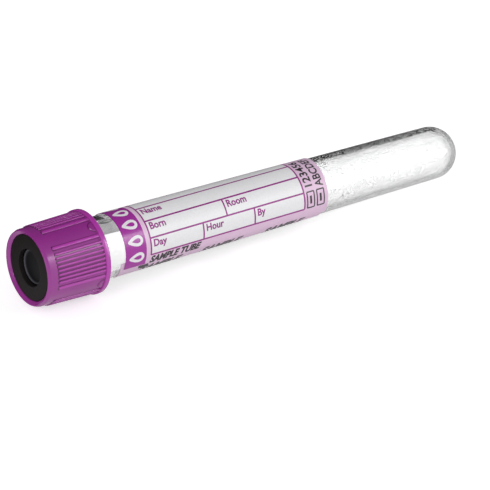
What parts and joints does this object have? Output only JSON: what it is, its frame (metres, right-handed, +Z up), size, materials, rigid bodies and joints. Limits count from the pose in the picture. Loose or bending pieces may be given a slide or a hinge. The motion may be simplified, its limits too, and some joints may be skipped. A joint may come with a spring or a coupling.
{
  "type": "blood collection tube",
  "caption": "Clear round-bottomed sample tube lying on its side, with a wrapped label and a ribbed twist-off cap that holds a rubber stopper.",
  "frame": {"origin": "centre of the lying part's bounding box, on the surface it lies on", "axes": "+X along the tube from the cap to the round end, +Z up; the tube's own axis dips 2.2 degrees towards the round end"},
  "size_m": [0.1032, 0.0172, 0.0172],
  "materials": {
    "clear_plastic": "clear, polished by the mould",
    "label_film": "printed white film, semi-gloss",
    "grey_rubber": "matt, moulded",
    "black_plastic": "satin, moulded",
    "purple_plastic": "satin gloss, moulded"
  },
  "bodies": {
    "tube_body": {"tube": "clear_plastic", "label": "label_film"},
    "stopper": {"rubber_stopper": "grey_rubber"},
    "cap": {"cap_shell": "purple_plastic", "cap_ring": "black_plastic"}
  },
  "joints": [
    {"name": "cap_lift", "type": "slide", "parent": "tube_body", "child": "stopper", "axis": [-0.9993, 0, 0.0377], "range_m": [0, 0.0115]},
    {"name": "cap_turn", "type": "hinge", "parent": "stopper", "child": "cap", "pos_m": [-0.05132, 0, 0.00911], "axis": [-0.9993, 0, 0.0377], "range_deg": [0, 346]}
  ],
  "couplings": [
    {"joint": "cap_turn", "follows": "cap_lift", "rad_per_m": 523.6}
  ]
}
